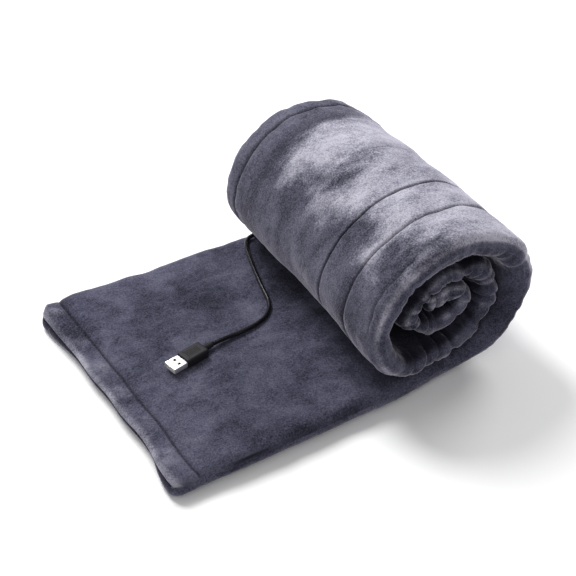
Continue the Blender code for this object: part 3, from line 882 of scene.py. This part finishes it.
def densify(section, extra):
    """Adds points along a section's long straight runs, so that the ribs have something to shape."""
    made = []
    for here, ahead in zip(section, section[1:] + section[:1]):
        made.append(here)
        gap = math.dist(here, ahead)
        if gap > 2.5 * MM:
            shares = [k / (extra + 1) for k in range(1, extra + 1)]
            made += [tuple(a + (b - a) * share for a, b in zip(here, ahead)) for share in shares]
    return made


def make_relief(finish):
    """The tapered strain relief, with ring grooves so that it can flex."""
    mesh = bmesh.new()
    start, end = MOULD.x + 0.05 * MM, MOULD.x + RELIEF_LENGTH + 0.6 * MM
    wide, narrow = 3.0 * MM, CORD_RADIUS + 0.35 * MM
    sections, count, around, grooves = [], 64, 32, 4.5
    for k in range(count + 1):
        t = k / count
        radius = wide + (narrow - wide) * t ** 0.8
        if 0.08 < t < 0.92:
            radius -= 0.38 * MM * max(0, math.sin(t * 2 * math.pi * grooves))
        if t > 0.96:
            radius -= 0.3 * MM * (t - 0.96) / 0.04
        x = -(start + (end - start) * t)
        sections.append([(x, radius * math.cos(a), radius * math.sin(a))
                         for a in (2 * math.pi * j / around for j in range(around))])
    loft(mesh, sections)
    return finish_mesh("plug_relief", mesh, finish, plug_matrix(), 60)


def make_shell(finish):
    """The folded steel shell: thin, rounded at its corners, with two windows on each broad side."""
    mesh = bmesh.new()
    wall, mouth, width, height = 0.3 * MM, 11.8 * MM, 12.0 * MM, 4.5 * MM
    outer = rounded_section(width, height, 0.6 * MM, 5)
    inner = rounded_section(width - 2 * wall, height - 2 * wall, 0.3 * MM, 5)
    rows = [[(x, y, z) for y, z in outer] for x in (0.1 * MM, mouth - 0.15 * MM)]
    rows.append([(mouth, y * 0.985, z * 0.965) for y, z in outer])
    rows += [[(x, y, z) for y, z in inner] for x in (mouth - 0.02 * MM, 0.1 * MM)]
    loft(mesh, rows, closed=False)
    shell = finish_mesh("plug_steel_shell", mesh, finish, plug_matrix(), 40)
    cutters = []
    for side in (1, -1):
        cutter = bmesh.new()
        bmesh.ops.create_cube(cutter, size=1.0, matrix=Matrix.Diagonal((2.6 * MM, 2.4 * MM, 9 * MM, 1)))
        upright = [e for e in cutter.edges if abs((e.verts[0].co - e.verts[1].co).z) > 1 * MM]
        bmesh.ops.bevel(cutter, geom=upright, offset=0.7 * MM, segments=4, affect="EDGES", profile=0.5)
        bmesh.ops.translate(cutter, verts=cutter.verts, vec=(5.1 * MM, side * 2.7 * MM, 0))
        tool = finish_mesh(f"window_{side}", cutter, finish, plug_matrix())
        modifier = shell.modifiers.new(tool.name, "BOOLEAN")
        modifier.operation, modifier.object = "DIFFERENCE", tool
        cutters.append(tool)
    bpy.context.view_layer.update()
    cut = bpy.data.meshes.new_from_object(shell.evaluated_get(bpy.context.evaluated_depsgraph_get()))
    shell.modifiers.clear()
    shell.data = cut
    cut.shade_smooth()
    cut.set_sharp_from_angle(angle=math.radians(40))
    for tool in cutters:
        bpy.data.objects.remove(tool)
    return shell


class OBJECT_OT_throw_lead(bpy.types.Operator):
    """Lay the lead and its plug on the flap"""
    bl_idname = "object.throw_lead"
    bl_label = "Lead and plug"

    def execute(self, context):
        wants = context.scene.throw_lead
        cord_vinyl = moulded_vinyl("extruded_vinyl_jacket", 0.24, 0.6)
        grip_vinyl = moulded_vinyl("moulded_vinyl_grip", 0.62, 0.35)
        steel = plated_steel()
        ends = [plug_matrix() @ place for place in (CORD_END + CORD_RISE, CORD_END)]
        route = smooth_route(CORD_ROUTE + ends, 2.2 * MM)
        data = bpy.data.curves.new("usb_lead", "CURVE")
        data.dimensions, data.use_fill_caps = "3D", True
        data.bevel_depth, data.bevel_resolution = wants.radius, 8
        spline = data.splines.new("POLY")
        spline.points.add(len(route) - 1)
        for slot, point in zip(spline.points, route):
            slot.co = (*point, 1.0)
        data.materials.append(cord_vinyl)
        lead = bpy.data.objects.new("usb_lead", data)
        context.scene.collection.objects.link(lead)
        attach(lead, "throw")
        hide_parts("power_cord")

        grip, relief, shell = make_overmould(grip_vinyl), make_relief(grip_vinyl), make_shell(steel)
        for piece, node, slot in ((grip, "plug_overmould", "moulded_vinyl"),
                                  (relief, "plug_strain_relief", "moulded_vinyl"),
                                  (shell, "plug_shell", "nickel_steel")):
            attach(piece, "throw")
            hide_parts(node)
        return {"FINISHED"}


# ---------------------------------------------------------------- what the frame keeps
class OBJECT_OT_throw_inner_parts(bpy.types.Operator):
    """Finish the parts that keep the frame's own shape"""
    bl_idname = "object.throw_inner_parts"
    bl_label = "Heating circuit and contacts"

    def execute(self, context):
        carbon = plain_finish("silicone_sheathed_carbon", "#202022", 0.6, 0.0, 0.4)
        lead = plain_finish("vinyl_lead_insulation", "#8A2A26", 0.45, 0.0, 0.5)
        shrink = plain_finish("polyolefin_heat_shrink", "#28282B", 0.5, 0.0, 0.5)
        sleeve = moulded_vinyl("moulded_vinyl_sleeve", 0.55, 0.4)
        insulator = plain_finish("moulded_pbt_insulator", "#E6E4DE", 0.4, 0.0, 0.6)
        gold = plain_finish("gold_flashed_brass", "#E8C37A", 0.25, 1.0, 0.2)
        finishes = {"heating_wire": carbon, "supply_lead": lead, "return_lead": lead,
                    "cutoff_lead": lead, "supply_splice": shrink, "return_splice": shrink,
                    "thermal_cutoff": shrink, "cord_exit_sleeve": sleeve, "plug_tongue": insulator,
                    "contact_supply": gold, "contact_data_minus": gold, "contact_data_plus": gold,
                    "contact_ground": gold}
        for name, finish in finishes.items():
            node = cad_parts[name]
            node.data.materials.clear()
            node.data.materials.append(finish)
        return {"FINISHED"}


# ---------------------------------------------------------------- stage
class SCENE_OT_throw_stage(bpy.types.Operator):
    """Set up the floor, the lights and the camera"""
    bl_idname = "scene.throw_stage"
    bl_label = "Stage"

    def execute(self, context):
        wants = context.scene.throw_stage
        scene = context.scene
        mesh = bmesh.new()
        bmesh.ops.create_grid(mesh, x_segments=1, y_segments=1, size=4.0)
        data = bpy.data.meshes.new("floor")
        mesh.to_mesh(data)
        mesh.free()
        floor = bpy.data.objects.new("floor", data)
        floor.location.z = -0.3 * MM
        scene.collection.objects.link(floor)
        paper, tree, shader = new_material("white_paper_sweep")
        shader.inputs["Base Color"].default_value = linear(wants.floor)
        shader.inputs["Roughness"].default_value = 0.9
        shader.inputs["Specular IOR Level"].default_value = 0.0
        data.materials.append(paper)

        world = bpy.data.worlds.new("studio")
        scene.world = world
        world.use_nodes = True
        world.node_tree.nodes["Background"].inputs["Color"].default_value = (1, 1, 1, 1)
        world.node_tree.nodes["Background"].inputs["Strength"].default_value = wants.sky
        lights = (("key", (-0.10, 1.05, 1.35), 0.8, wants.key, (0.03, 0.0, 0.04)),
                  ("side", (1.2, 0.35, 0.9), 0.7, wants.key * 0.35, (0.06, 0.0, 0.05)),
                  ("fill", (-0.9, -0.9, 0.9), 0.9, wants.key * 0.12, (0.0, 0.0, 0.05)))
        for name, place, size, power, aim in lights:
            lamp = bpy.data.lights.new(name, "AREA")
            lamp.shape, lamp.size, lamp.energy = "DISK", size, power
            made = bpy.data.objects.new(name, lamp)
            scene.collection.objects.link(made)
            made.location = place
            made.rotation_euler = (Vector(aim) - Vector(place)).to_track_quat("-Z", "Y").to_euler()

        camera = bpy.data.objects.new("camera", bpy.data.cameras.new("camera"))
        scene.collection.objects.link(camera)
        camera.data.lens = wants.lens
        camera.data.sensor_width = 36.0
        camera.location = wants.camera
        aim = Vector(wants.aim) - Vector(wants.camera)
        camera.rotation_euler = aim.to_track_quat("-Z", "Y").to_euler()
        scene.camera = camera
        scene.view_settings.view_transform = "Standard"
        return {"FINISHED"}


class VIEW3D_PT_heated_throw(bpy.types.Panel):
    """The throw's pieces, in the order that they are made"""
    bl_label = "Heated Throw"
    bl_idname = "VIEW3D_PT_heated_throw"
    bl_space_type = "VIEW_3D"
    bl_region_type = "UI"
    bl_category = "Heated Throw"

    def draw(self, context):
        layout = self.layout
        for group in (context.scene.heated_throw, context.scene.throw_lead, context.scene.throw_stage):
            for name in group.bl_rna.properties.keys():
                if name not in ("rna_type", "name"):
                    layout.prop(group, name)
        for operator in STEPS:
            layout.operator(operator.bl_idname)


STEPS = (SCENE_OT_throw_stage, OBJECT_OT_throw_lead, OBJECT_OT_throw_inner_parts, OBJECT_OT_throw_band,
         OBJECT_OT_throw_stitching)
GROUPS = {"heated_throw": ThrowSettings, "throw_lead": LeadSettings, "throw_stage": StageSettings}


def register():
    for group in (*GROUPS.values(), *STEPS, VIEW3D_PT_heated_throw):
        bpy.utils.register_class(group)
    for name, group in GROUPS.items():
        setattr(bpy.types.Scene, name, PointerProperty(type=group))


def unregister():
    for name in GROUPS:
        delattr(bpy.types.Scene, name)
    for group in (VIEW3D_PT_heated_throw, *reversed(STEPS), *reversed(list(GROUPS.values()))):
        bpy.utils.unregister_class(group)


def main():
    """Builds the throw on its stage."""
    register()
    bpy.ops.scene.throw_stage()
    bpy.ops.object.throw_lead()
    bpy.ops.object.throw_inner_parts()
    bpy.ops.object.throw_band()
    bpy.ops.object.throw_stitching()


if __name__ == "__main__":
    main()
